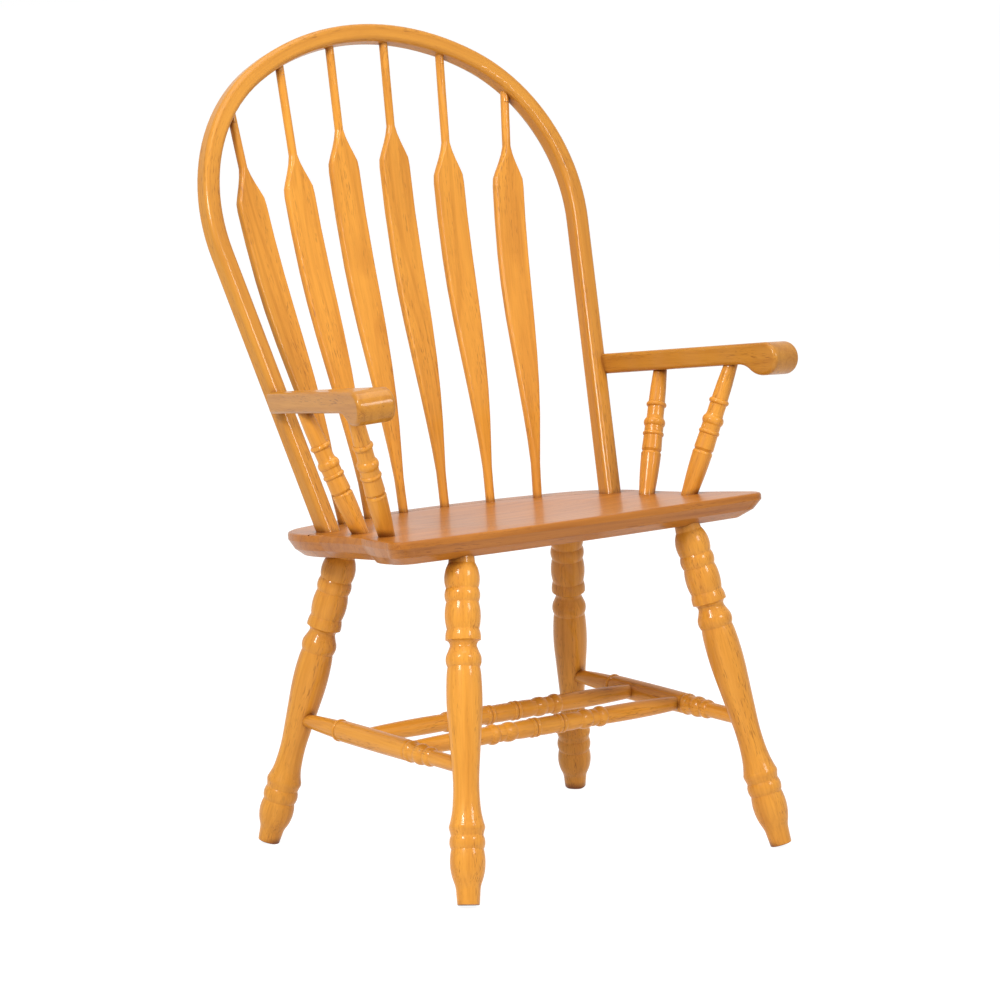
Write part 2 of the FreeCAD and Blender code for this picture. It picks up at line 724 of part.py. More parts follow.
def arrow_spindle(name, foot_x, top_x, shoulder, turn, seat_board, bow):
    """Arrow-shaped spindle from the seat to the bow, thin at both ends and bent like a long S."""
    drop = num("spindle_arc_radius") - math.sqrt(num("spindle_arc_radius") ** 2 - foot_x ** 2)
    foot = on_seat(foot_x, num("spindle_arc_back") - drop)
    local_top, out = bow_at(top_x)
    top = BOW.multVec(local_top)
    axis = top - foot
    length = axis.Length
    frame = turned_to(foot, axis, V(math.cos(math.radians(turn)), math.sin(math.radians(turn)), 0))
    foot_dia, top_dia = cell("spindle_foot_dia"), cell("spindle_top_dia")
    wide, thick, corner = cell("paddle_width"), cell("paddle_thick"), cell("paddle_round")
    start, full = num("paddle_start"), num("paddle_full")
    neck = shoulder + num("shoulder_len")

    def oval(dia):
        return dia, dia, dia / 2 - 0.5

    def paddle(share):
        swell = foot_dia + (wide - foot_dia) * share
        slim = min(1.0, share * 4.0)
        return swell, foot_dia + (thick - foot_dia) * slim, foot_dia / 2 - 0.5 + (corner - foot_dia / 2 + 0.5) * slim

    stations = [(-8.0, oval(foot_dia)), (start * 0.5, oval(foot_dia)), (start - 4.0, paddle(0.015))]
    for part in (0.1, 0.22, 0.36, 0.52, 0.7, 0.86):
        stations.append((start + (full - start) * part, paddle(math.sin(math.pi / 2 * part))))
    stations.append((full, paddle(1.0)))
    stations.append(((full + shoulder) / 2, paddle(1.0)))
    stations.append((shoulder - 6.0, paddle(1.0)))
    for ahead, share in ((0.1, 0.94), (0.3, 0.7), (0.55, 0.37), (0.78, 0.12)):
        stations.append((shoulder + (neck - shoulder) * ahead, paddle(share)))
    stations += [(neck, oval(top_dia)), ((neck + length) / 2, oval(top_dia)), (length, oval(top_dia))]
    sections = []
    for index, (along, (w, d, r)) in enumerate(stations):
        section = rounded_section("%s_section_%d" % (name, index), w / 2, d / 2, r)
        share = max(0.0, along / length)
        sway = (num("spindle_belly") * math.sin(math.pi * share)
                - num("spindle_crook") * math.sin(2 * math.pi * share)
                - num("spindle_hook") * math.sin(3 * math.pi * share))
        section.Placement = frame * FreeCAD.Placement(V(0, sway, along), FreeCAD.Rotation())
        sections.append(section)
    parts = []
    for label, chosen, tool in (("low", sections[:2], seat_board), ("paddle", sections[1:-1], None),
                                ("high", sections[-2:], bow)):
        loft = doc.addObject("Part::Loft", "%s_%s" % (name, label))
        loft.Sections = chosen
        loft.Solid = True
        loft.Ruled = True
        parts.append(cut("%s_%s_trimmed" % (name, label), loft, [tool]) if tool else loft)
    foot_tenon, foot_socket = tenon_and_socket(name + "_foot", "spindle", foot, axis * -1)
    way = V(axis)
    way.normalize()
    inset = num("bow_width") / 2 / BOW.Rotation.multVec(out).dot(way)
    top_tenon, top_socket = tenon_and_socket(name + "_top", "spindle", top - way * inset, axis)
    return fuse(name, parts + [foot_tenon, top_tenon]), foot_socket, top_socket


# Arms
def arm_blank():
    """Flat arm with a deep rounded nose, its back end slanted to the bow."""
    thick, high = cell("arm_thick"), cell("arm_nose_high")
    front, nose_len = cell("arm_front"), cell("arm_nose_len")
    radius = high / 2
    drop, low = high - thick, thick - high
    start, run = radius + 4.0 - front, nose_len - radius - 1.0
    bend = (run * run + drop * drop) / (4 * drop)
    body = doc.addObject("PartDesign::Body", "arm_side_shape")
    sketch = outline_sketch(body, "arm_profile", "YZ_Plane", [
        (cell("arm_back") + 40.0, thick),
        (radius - front, thick),
        (0 - front, thick - radius, radius * 0.2929 - front, thick - radius * 0.2929, radius),
        (radius - front, low, radius * 0.2929 - front, low + radius * 0.2929, radius),
        (start, low),
        (start + run / 2, low / 2, start + run / 4, low + drop / 8, bend),
        (start + run, 0, start + run * 0.75, 0 - drop / 8, bend),
        (cell("arm_back") + 40.0, 0),
    ])
    pad = body.newObject("PartDesign::Pad", "arm_board")
    pad.Profile = sketch
    pad.Length = 120.0
    pad.Midplane = True
    ahead, behind = 0 - front - 20.0, cell("arm_back") + 60.0
    share = (behind - ahead) / (cell("arm_back") + front)
    inside, outside = 0 - cell("arm_nose_inside"), cell("arm_nose_outside")
    inner_run = (0 - cell("arm_back_inside") - inside) * share
    outer_run = (cell("arm_back_outside") - outside) * share
    plan = outline_sketch(body, "arm_plan", "XY_Plane", [
        (inside + inner_run, behind),
        (-100.0, behind),
        (-100.0, ahead - 20.0),
        (100.0, ahead - 20.0),
        (100.0, behind),
        (outside + outer_run, behind),
        (outside, ahead),
        (inside, ahead),
    ])
    taper = body.newObject("PartDesign::Pocket", "arm_taper")
    taper.Profile = plan
    taper.Length = 200.0
    taper.Midplane = True
    doc.recompute()
    sides = [n for n, f in enumerate(taper.Shape.Faces, 1) if abs(f.normalAt(0, 0).x) > 0.95]
    rim = body.newObject("PartDesign::Fillet", "arm_edges")
    rim.Base = (taper, ["Face%d" % n for n in sides])
    bind(rim, "Radius", cell("arm_edge_round"))
    body.Placement = ARM
    doc.recompute()
    end = doc.addObject("Part::Box", "arm_end_cut")
    for prop in ("Length", "Width", "Height"):
        setattr(end, prop, 200.0)
    middle = ARM.multVec(V(0, num("arm_back"), num("arm_thick") / 2))
    end.Placement = FreeCAD.Placement(middle, BOW.Rotation) * FreeCAD.Placement(V(-100, 0, -100), FreeCAD.Rotation())
    return cut("arm_cut_to_bow", body, [end])


# Turned arm posts
def post_profile(length):
    foot, fat, groove = cell("post_foot_dia") / 2, cell("post_dia") / 2, cell("post_groove_dia") / 2
    collar, top = cell("post_collar_dia") / 2, cell("post_top_dia") / 2
    part = length / cell("post_drawn_len")
    swell = cell("post_swell_len") * part
    band = swell + cell("post_band_len") * part
    bead = band + cell("post_bead_len") * part
    ring = bead + cell("post_collar_len") * part
    above = ring + cell("post_ring_len") * part
    return [
        (foot - 0.3, -14.0),
        (foot, 4.0 * part),
        (fat - 0.2, swell - 5.0 * part, foot + 1.6, swell * 0.46),
        (groove, swell, fat - 0.3, swell - 2.0 * part),
        (fat - 0.2, swell + 3.0 * part),
        (fat - 0.9, band - 1.0 * part),
        (fat - 0.9, band + 4.5 * part, fat + 0.6, band + 1.8 * part),
        (fat - 0.9, bead - 11.0 * part),
        (groove, bead, fat + 0.9, bead - 6.0 * part),
        (collar - 0.4, bead + 3.0 * part),
        (collar - 0.4, ring),
        (collar - 0.6, above, fat, (ring + above) / 2),
        (top + 2.2, above + (length - above) * 0.45),
        (top, length + 12.0),
    ]


def arm_post(name, foot, top, seat_board, arm):
    axis = top - foot
    body = turned(name + "_turning", post_profile(as_size(axis.Length)))
    body.Placement = turned_to(foot, axis)
    trimmed = cut(name + "_trimmed", body, [seat_board, arm])
    foot_tenon, foot_socket = tenon_and_socket(name + "_foot", "post", foot, axis * -1)
    top_tenon, top_socket = tenon_and_socket(name + "_top", "arm", top, axis)
    return fuse(name, [trimmed, foot_tenon, top_tenon]), foot_socket, top_socket


# Screw through the bow into the back end of the arm, and the plug that hides its head
def arm_fixing(bow):
    foot, up = bow_curve()[:2]
    mid_back = (num("arm_back_outside") - num("arm_back_inside")) / 2
    aim = ARM.multVec(V(mid_back, num("arm_back") - 30.0, num("arm_thick") / 2))
    aim_end = ARM.multVec(V(mid_back, num("arm_back") + 10.0, num("arm_thick") / 2))
    foot_at = BOW.multVec(foot)
    rise = (aim_end.z - foot_at.z) / BOW.Rotation.multVec(up).z
    back_face = BOW.multVec(foot + up * rise + V(num("screw_out"), num("bow_thick") / 2, 0))
    forward = aim - back_face
    forward.normalize()
    head_top = back_face + forward * num("plug_len")
    head_low = head_top + forward * num("screw_head_len")
    head = rod("screw_head", cell("screw_head_dia"), cell("screw_head_len"), head_top, forward)
    shank = rod("screw_shank", cell("screw_dia"), cell("screw_len") + 1.0, head_low - forward, forward)
    peg = rod("screw_peg", cell("plug_dia"), cell("plug_len") + 10.0, back_face - forward * 10.0, forward)
    plug = doc.addObject("Part::MultiCommon", "screw_plug")
    plug.Shapes = [peg, bow]
    wide = rod("screw_counterbore", cell("plug_dia") + 2 * cell("fit_gap"),
               cell("plug_len") + cell("screw_head_len") + 10.0, back_face - forward * 10.0, forward)
    narrow = rod("screw_hole", cell("screw_dia") + 2 * cell("fit_gap"),
                 cell("screw_len") + cell("end_gap") + 1.0, head_low - forward, forward)
    return fuse("screw", [head, shank]), plug, [wide, narrow], narrow


# The chair put together
seat_board = seat_blank()
bow_frame, seat_holes = bow_blank(seat_board)
arm_board = cut("arm_notched", arm_blank(), [bow_frame])

front_leg, front_leg_hole, front_foot, front_axis = leg(
    "front_leg", -num("front_leg_top"), -num("foot_reach"), cell("front_foot_len"), seat_board)
rear_leg, rear_leg_hole, rear_foot, rear_axis = leg(
    "rear_leg", num("rear_leg_top"), num("foot_reach"), cell("rear_foot_len"), seat_board)

rail_height = num("stretcher_height")
rail_rear = axis_at_height(rear_foot, rear_axis, rail_height)
rail_front = axis_at_height(front_foot, front_axis, rail_height)
rail, rail_holes = stretcher(
    "side_stretcher_uncut", side_stretcher_profile, rail_rear, rail_front, "stretcher",
    [(rear_leg, 16.0), (front_leg, 16.0)])


def rail_at(y):
    return rail_rear + (rail_front - rail_rear) * ((y - rail_rear.y) / (rail_front.y - rail_rear.y))


def flipped(p):
    return V(-p.x, p.y, p.z)


other_rail = mirrored("other_rail", rail)
crosses = {}
rail_cuts = []
for which, reach in (("front", -num("cross_front_reach")), ("rear", num("cross_rear_back"))):
    side = rail_at(reach - num("depth_middle"))
    crosses[which], holes = stretcher(
        "cross_stretcher_" + which, cross_profile, flipped(side), side, "cross",
        [(other_rail, 12.5), (rail, 12.5)])
    rail_cuts.append(holes[1])

spindles = {}
seat_cuts = []
bow_cuts = []
for which, word, turn in (("inner", "inner", 0.0), ("middle", "mid", num("spindle_mid_turn")),
                          ("outer", "outer", num("spindle_outer_turn"))):
    spindles[which], low, high = arrow_spindle(
        "spindle_" + which, num("spindle_%s_foot" % word), num("spindle_%s_top" % word),
        num("spindle_%s_shoulder" % word), -turn, seat_board, bow_frame)
    seat_cuts.append(low)
    bow_cuts.append(high)

rear_post, rear_post_foot, rear_post_top = arm_post(
    "rear_post", on_seat(num("rear_post_half"), num("rear_post_back")),
    ARM.multVec(V(num("rear_post_out"), num("rear_post_along"), 0)), seat_board, arm_board)
front_post, front_post_foot, front_post_top = arm_post(
    "front_post", on_seat(num("front_post_half"), -num("front_post_reach")),
    ARM.multVec(V(-num("front_post_in"), -num("front_post_along"), 0)), seat_board, arm_board)
screw, plug, bow_bore, arm_bore = arm_fixing(bow_frame)

seat_cuts += [front_leg_hole, rear_leg_hole, rear_post_foot, front_post_foot]
seat_cuts += [mirrored(t.Name + "_right", t) for t in seat_cuts] + seat_holes
seat_bored = cut("seat_bored", seat_board, seat_cuts)
seat_hollowed = cut("seat_hollowed", seat_bored, [dish()])
seat = cut("seat", seat_hollowed, [score_line()])
bow_cuts += bow_bore
bow = cut("back_bow", bow_frame, bow_cuts + [mirrored(t.Name + "_right", t) for t in bow_cuts])

lefts = {
    "arm": cut("arm", arm_board, [rear_post_top, front_post_top, arm_bore]),
    "arm_post_front": front_post,
    "arm_post_rear": rear_post,
    "leg_front": cut("leg_front", front_leg, [rail_holes[1]]),
    "leg_rear": cut("leg_rear", rear_leg, [rail_holes[0]]),
    "side_stretcher": cut("side_stretcher", rail, rail_cuts),
    "spindle_inner": spindles["inner"],
    "spindle_middle": spindles["middle"],
    "spindle_outer": spindles["outer"],
}
nodes = {
    "seat": seat,
    "back_bow": bow,
    "cross_stretcher_front": crosses["front"],
    "cross_stretcher_rear": crosses["rear"],
}
for name, piece in lefts.items():
    nodes[name + "_left"] = piece
    nodes[name + "_right"] = mirrored(name + "_right_hand", piece)
for name, piece in (("arm_screws", screw), ("screw_plugs", plug)):
    pair = doc.addObject("Part::Compound", name)
    pair.Links = [piece, mirrored(piece.Name + "_right_hand", piece)]
    nodes[name] = pair

doc.recompute()
for obj in doc.Objects:
    if {"Invalid", "Error"} & set(obj.State):
        raise RuntimeError("%s did not build" % obj.Name)
for name, obj in nodes.items():
    if obj.Shape.isNull() or not obj.Shape.isValid():
        raise RuntimeError("%s has no valid shape" % name)
    obj.Label = name
    obj.Shape.exportStep("parts/%s.step" % name)
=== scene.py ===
"""Looks for a bow-back dining armchair in honey-coloured lacquered hardwood.

Metres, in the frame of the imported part: +Z up, the sitter faces -Y. Every piece of wood has its
grain along its own length, under a clear gloss lacquer.
"""

import logging
import math
from dataclasses import dataclass, field
from enum import Enum
from functools import partial

import bmesh
import bpy
import numpy as np
from mathutils import Euler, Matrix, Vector


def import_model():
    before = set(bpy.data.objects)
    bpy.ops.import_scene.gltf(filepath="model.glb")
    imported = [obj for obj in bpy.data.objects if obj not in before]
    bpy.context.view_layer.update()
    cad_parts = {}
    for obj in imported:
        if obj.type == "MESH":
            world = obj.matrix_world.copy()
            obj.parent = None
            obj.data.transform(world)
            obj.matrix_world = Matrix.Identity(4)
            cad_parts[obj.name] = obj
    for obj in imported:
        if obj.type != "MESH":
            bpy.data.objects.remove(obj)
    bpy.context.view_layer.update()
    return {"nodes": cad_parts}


LOG = logging.getLogger("armchair")
Colour = tuple[float, float, float]


class Cut(Enum):
    """How a piece was sawn, which sets how bold its figure is."""

    PLAIN = 1.0
    QUARTER = 0.45
    TURNED = 0.7


def sum_node(tree: bpy.types.NodeTree, operation: str, first: object,
             second: object) -> bpy.types.NodeSocket:
    """Adds one sum of two sockets or numbers.

    Args:
        tree: The nodes that it joins.
        operation: Blender's name of the operation.
        first: Socket or number.
        second: Socket or number.

    Returns:
        The result.
    """
    node = tree.nodes.new("ShaderNodeMath")
    node.operation = operation
    for slot, value in enumerate((first, second)):
        if isinstance(value, bpy.types.NodeSocket):
            tree.links.new(value, node.inputs[slot])
        else:
            node.inputs[slot].default_value = value
    return node.outputs[0]


@dataclass(frozen=True)
class WoodFinish:
    """Lacquered wood: its colours, how large its figure is and how glossy it is."""

    light: Colour = (0.78, 0.335, 0.040)
    dark: Colour = (0.50, 0.175, 0.015)
    pore: Colour = (0.24, 0.070, 0.008)
    streak_width: float = 0.020
    fibre_width: float = 0.0026
    pore_width: float = 0.0013
    roughness: float = 0.42
    coat: float = 0.34
    sheen_level: float = 0.12
    coat_roughness: float = 0.11
    relief: float = 0.00012
    # Painted shade: this colour is mixed into grooves, crevices and joints between pieces, as far as
    # ambient occlusion finds them hidden.
    painted_crevice_shade: Colour = (0.20, 0.055, 0.006)
    crevice_reach: float = 0.012
    crevice_full: float = 0.42
    crevice_none: float = 0.90
    crevice_rays: int = 8
    lacquer_ior: float = 1.5
    bump_strength: float = 0.5
    noise_roughness: float = 0.55
    streak_share: float = 0.40
    fibre_share: float = 0.26
    ring_width: float = 0.050
    ring_count: float = 60.0
    ring_share: float = 0.22
    pore_share: float = 0.58
    fibre_height: float = 0.35
    fibre_roughness: float = 0.10

    def group(self) -> bpy.types.NodeTree:
        """Builds the shared grain group once.

        Returns:
            The node group that turns a piece's own coordinates into colour and relief.
        """
        name = "wood_grain"
        if name in bpy.data.node_groups:
            return bpy.data.node_groups[name]
        tree = bpy.data.node_groups.new(name, "ShaderNodeTree")
        for label, kind, value in (
            ("Vector", "NodeSocketVector", None),
            ("Light", "NodeSocketColor", (*self.light, 1.0)),
            ("Dark", "NodeSocketColor", (*self.dark, 1.0)),
            ("Pore", "NodeSocketColor", (*self.pore, 1.0)),
            ("Figure", "NodeSocketFloat", 1.0),
            ("Tone", "NodeSocketFloat", 1.0),
        ):
            socket = tree.interface.new_socket(name=label, in_out="INPUT", socket_type=kind)
            if value is not None:
                socket.default_value = value
        for label, kind in (("Color", "NodeSocketColor"), ("Height", "NodeSocketFloat"),
                            ("Roughness", "NodeSocketFloat")):
            tree.interface.new_socket(name=label, in_out="OUTPUT", socket_type=kind)
        inputs = tree.nodes.new("NodeGroupInput")
        outputs = tree.nodes.new("NodeGroupOutput")
        link = tree.links.new
        math_node = partial(sum_node, tree)

        def stretched(along: float, width: float, detail: float) -> bpy.types.NodeSocket:
            """Adds noise drawn out along the grain.

            Args:
                along: Share of a mark's length that is kept along the grain.
                width: Width of one mark in metres.
                detail: Octaves of the noise.

            Returns:
                The noise value.
            """
            scaled = tree.nodes.new("ShaderNodeVectorMath")
            scaled.operation = "MULTIPLY"
            scaled.inputs[1].default_value = (1.0, 1.0, along)
            link(inputs.outputs["Vector"], scaled.inputs[0])
            noise = tree.nodes.new("ShaderNodeTexNoise")
            noise.inputs["Scale"].default_value = 1.0 / width
            noise.inputs["Detail"].default_value = detail
            noise.inputs["Roughness"].default_value = self.noise_roughness
            link(scaled.outputs[0], noise.inputs["Vector"])
            return noise.outputs["Fac"]

        def ramp(value: bpy.types.NodeSocket, low: float, high: float) -> bpy.types.NodeSocket:
            """Adds a smooth step.

            Args:
                value: What is stepped.
                low: Where the step starts.
                high: Where it ends.

            Returns:
                0 below low and 1 above high.
            """
            node = tree.nodes.new("ShaderNodeMapRange")
            node.interpolation_type = "SMOOTHSTEP"
            node.inputs["From Min"].default_value = low
            node.inputs["From Max"].default_value = high
            link(value, node.inputs["Value"])
            return node.outputs["Result"]

        broad = stretched(0.07, self.streak_width, 2.0)
        fibre = stretched(0.03, self.fibre_width, 3.0)
        pores = ramp(stretched(0.09, self.pore_width, 1.0), 0.56, 0.70)
        patchy = ramp(stretched(0.10, self.streak_width * 0.7, 1.0), 0.38, 0.66)
        waves = math_node("MULTIPLY", stretched(0.04, self.ring_width, 1.0), self.ring_count)
        rings = math_node("SINE", waves, 0.0)
        rings = ramp(rings, 0.2, 1.0)
        streaks = math_node("MULTIPLY", ramp(broad, 0.30, 0.74), self.streak_share)
        fibres = math_node("MULTIPLY", ramp(fibre, 0.30, 0.75), self.fibre_share)
        amount = math_node("ADD", streaks, fibres)
        faint = math_node("MULTIPLY", rings, self.ring_share)
        figure = math_node("MULTIPLY", faint, inputs.outputs["Figure"])
        amount = math_node("ADD", amount, figure)
        body = tree.nodes.new("ShaderNodeMix")
        body.data_type = "RGBA"
        link(amount, body.inputs["Factor"])
        link(inputs.outputs["Light"], body.inputs["A"])
        link(inputs.outputs["Dark"], body.inputs["B"])
        marked = tree.nodes.new("ShaderNodeMix")
        marked.data_type = "RGBA"
        pore_mask = math_node("MULTIPLY", pores, patchy)
        link(math_node("MULTIPLY", pore_mask, self.pore_share), marked.inputs["Factor"])
        link(body.outputs["Result"], marked.inputs["A"])
        link(inputs.outputs["Pore"], marked.inputs["B"])
        toned = tree.nodes.new("ShaderNodeHueSaturation")
        link(marked.outputs["Result"], toned.inputs["Color"])
        link(inputs.outputs["Tone"], toned.inputs["Value"])
        link(toned.outputs["Color"], outputs.inputs["Color"])
        relief = math_node("SUBTRACT", math_node("MULTIPLY", fibre, self.fibre_height), pore_mask)
        link(relief, outputs.inputs["Height"])
        uneven = math_node("MULTIPLY", fibre, self.fibre_roughness)
        link(math_node("ADD", uneven, self.roughness - self.fibre_roughness / 2.0),
             outputs.inputs["Roughness"])
        return tree

    def material(self, name: str, grain: Vector, seed: float, cut: Cut, tone: float,
                 bend: "BentGrain | None" = None) -> bpy.types.Material:
        """Makes this finish for one piece.

        Args:
            name: The material's name.
            grain: The way the grain runs.
            seed: Shifts the pattern, so that no two pieces match.
            cut: How the piece was sawn.
            tone: How light this piece is beside the others.
            bend: The bend that the grain follows, if the piece is bent.

        Returns:
            The finished material.
        """
        material = bpy.data.materials.new(name)
        material.use_nodes = True
        tree = material.node_tree
        shader = tree.nodes["Principled BSDF"]
        place = tree.nodes.new("ShaderNodeTexCoord")
        mapping = tree.nodes.new("ShaderNodeMapping")
        if bend is None:
            turn = grain.normalized().rotation_difference(Vector((0.0, 0.0, 1.0)))
            mapping.inputs["Rotation"].default_value = turn.to_euler()
        mapping.inputs["Location"].default_value = (seed * 0.37, seed * 0.61, seed * 1.13)
        grains = tree.nodes.new("ShaderNodeGroup")
        grains.node_tree = self.group()
        for label, value in (("Light", (*self.light, 1.0)), ("Dark", (*self.dark, 1.0)),
                             ("Pore", (*self.pore, 1.0)), ("Figure", cut.value), ("Tone", tone)):
            grains.inputs[label].default_value = value
        bump = tree.nodes.new("ShaderNodeBump")
        bump.inputs["Distance"].default_value = self.relief
        bump.inputs["Strength"].default_value = self.bump_strength
        along_piece = place.outputs["Object"]
        if bend is not None:
            along_piece = bend.unrolled(tree, along_piece)
        tree.links.new(along_piece, mapping.inputs["Vector"])
        tree.links.new(mapping.outputs["Vector"], grains.inputs["Vector"])
        # Painted shade: ambient occlusion darkens the wood's colour towards the shade colour in grooves
        # and where two pieces meet.
        crevice = tree.nodes.new("ShaderNodeAmbientOcclusion")
        crevice.samples = self.crevice_rays
        crevice.inputs["Distance"].default_value = self.crevice_reach
        depth = tree.nodes.new("ShaderNodeMapRange")
        depth.inputs["From Min"].default_value = self.crevice_full
        depth.inputs["From Max"].default_value = self.crevice_none
        painted_crevice_shade = tree.nodes.new("ShaderNodeMix")
        painted_crevice_shade.data_type = "RGBA"
        painted_crevice_shade.inputs["A"].default_value = (*self.painted_crevice_shade, 1.0)
        tree.links.new(crevice.outputs["AO"], depth.inputs["Value"])
        tree.links.new(depth.outputs["Result"], painted_crevice_shade.inputs["Factor"])
        tree.links.new(grains.outputs["Color"], painted_crevice_shade.inputs["B"])
        tree.links.new(painted_crevice_shade.outputs["Result"], shader.inputs["Base Color"])
        tree.links.new(grains.outputs["Roughness"], shader.inputs["Roughness"])
        tree.links.new(grains.outputs["Height"], bump.inputs["Height"])
        tree.links.new(bump.outputs["Normal"], shader.inputs["Normal"])
        shader.inputs["Specular IOR Level"].default_value = self.sheen_level
        shader.inputs["Coat Weight"].default_value = self.coat
        shader.inputs["Coat Roughness"].default_value = self.coat_roughness
        shader.inputs["Coat IOR"].default_value = self.lacquer_ior
        return material


@dataclass(frozen=True)
class BentGrain:
    """The bow's centreline, along which its grain runs: straight legs, two shoulders and a crown."""

    foot: Vector = field(default_factory=lambda: Vector((0.0, 0.03528, 0.42338)))
    recline: float = 22.65
    flare: float = 9.03
    foot_half: float = 0.2312
    shoulder_radius: float = 0.2266
    crown_radius: float = 0.3636
    rise: float = 0.65455

    def unrolled(self, tree: bpy.types.NodeTree, place: bpy.types.NodeSocket) -> bpy.types.NodeSocket:
        """Adds nodes that straighten the bow, so that Z runs along its bend.

        Args:
            tree: The material's nodes.
            place: The point in the frame of the part.

        Returns:
            The point as (out from the centreline, through the bow, along the bow).
        """
        sum_of = partial(sum_node, tree)

        def measured(centre: Vector, way: Vector) -> bpy.types.NodeSocket:
            """Adds the distance from a centre in the bow's plane along one way.

            Args:
                centre: Where the distance starts, as (x, z).
                way: Unit direction, as (x, z).

            Returns:
                The distance.
            """
            share = sum_of("ADD", sum_of("MULTIPLY", side, way.x), sum_of("MULTIPLY", up, way.y))
            return sum_of("SUBTRACT", share, centre.dot(way))

        lean, flare = math.radians(self.recline), math.radians(self.flare)
        split = tree.nodes.new("ShaderNodeSeparateXYZ")
        tree.links.new(place, split.inputs[0])
        side = sum_of("ABSOLUTE", split.outputs["X"], 0.0)
        back = sum_of("SUBTRACT", split.outputs["Y"], self.foot.y)
        high = sum_of("SUBTRACT", split.outputs["Z"], self.foot.z)
        up = sum_of("ADD", sum_of("MULTIPLY", high, math.cos(lean)),
                    sum_of("MULTIPLY", back, math.sin(lean)))
        through = sum_of("SUBTRACT", sum_of("MULTIPLY", back, math.cos(lean)),
                         sum_of("MULTIPLY", high, math.sin(lean)))

        leg = Vector((math.sin(flare), math.cos(flare)))
        outward = Vector((math.cos(flare), -math.sin(flare)))
        crown = Vector((0.0, self.rise - self.crown_radius))
        foot = Vector((self.foot_half, 0.0))
        gap = foot - outward * self.shoulder_radius - crown
        reach = self.crown_radius - self.shoulder_radius
        straight = -gap.dot(leg) + math.sqrt(gap.dot(leg) ** 2 - gap.dot(gap) + reach ** 2)
        shoulder = foot + leg * straight - outward * self.shoulder_radius
        spoke = (shoulder - crown).normalized()
        inward = Vector((-spoke.y, spoke.x))
        turn = math.acos(max(-1.0, min(1.0, spoke.dot(outward))))

        out_here, up_here = measured(shoulder, outward), measured(shoulder, leg)
        lifted = sum_of("MAXIMUM", up_here, 0.0)
        far = sum_of("SQRT", sum_of("ADD", sum_of("MULTIPLY", out_here, out_here),
                                    sum_of("MULTIPLY", lifted, lifted)), 0.0)
        low_across = sum_of("SUBTRACT", far, self.shoulder_radius)
        low_along = sum_of("ADD", sum_of("MINIMUM", up_here, 0.0),
                           sum_of("MULTIPLY", sum_of("ARCTAN2", lifted, out_here), self.shoulder_radius))
        spoke_here, over_here = measured(crown, spoke), measured(crown, inward)
        high_far = sum_of("SQRT", sum_of("ADD", sum_of("MULTIPLY", spoke_here, spoke_here),
                                         sum_of("MULTIPLY", over_here, over_here)), 0.0)
        high_across = sum_of("SUBTRACT", high_far, self.crown_radius)
        high_arc = sum_of("MULTIPLY", sum_of("ARCTAN2", over_here, spoke_here), self.crown_radius)
        high_along = sum_of("ADD", high_arc, turn * self.shoulder_radius)
        over = sum_of("GREATER_THAN", over_here, 0.0)
        under = sum_of("SUBTRACT", 1.0, over)
        joined = tree.nodes.new("ShaderNodeCombineXYZ")
        parts = ((high_across, low_across), (through, through), (high_along, low_along))
        for slot, (upper, lower) in enumerate(parts):
            value = sum_of("ADD", sum_of("MULTIPLY", upper, over), sum_of("MULTIPLY", lower, under))
            tree.links.new(value, joined.inputs[slot])
        return joined.outputs[0]


@dataclass(frozen=True)
class SteelFinish:
    """Zinc-plated steel of a wood screw."""

    colour: Colour = (0.55, 0.55, 0.53)
    roughness: float = 0.35
    unevenness: float = 0.08
    noise_scale: float = 900.0

    def material(self, name: str) -> bpy.types.Material:
        """Makes the finish.

        Args:
            name: The material's name.

        Returns:
            The finished material.
        """
        material = bpy.data.materials.new(name)
        material.use_nodes = True
        tree = material.node_tree
        shader = tree.nodes["Principled BSDF"]
        place = tree.nodes.new("ShaderNodeTexCoord")
        noise = tree.nodes.new("ShaderNodeTexNoise")
        noise.inputs["Scale"].default_value = self.noise_scale
        spread = tree.nodes.new("ShaderNodeMapRange")
        spread.inputs["To Min"].default_value = self.roughness - self.unevenness
        spread.inputs["To Max"].default_value = self.roughness + self.unevenness
        tree.links.new(place.outputs["Object"], noise.inputs["Vector"])
        tree.links.new(noise.outputs["Fac"], spread.inputs["Value"])
        tree.links.new(spread.outputs["Result"], shader.inputs["Roughness"])
        shader.inputs["Base Color"].default_value = (*self.colour, 1.0)
        shader.inputs["Metallic"].default_value = 1.0
        return material


def long_axis(piece: bpy.types.Object) -> Vector:
    """Finds the way a piece is longest.

    Args:
        piece: A mesh object.

    Returns:
        The direction in which its points spread most.
    """
    flat = np.zeros(len(piece.data.vertices) * 3, np.float32)
    piece.data.vertices.foreach_get("co", flat)
    points = flat.reshape(-1, 3)
    spread = np.cov((points - points.mean(0)).T)
    return Vector(np.linalg.eigh(spread)[1][:, -1].tolist())


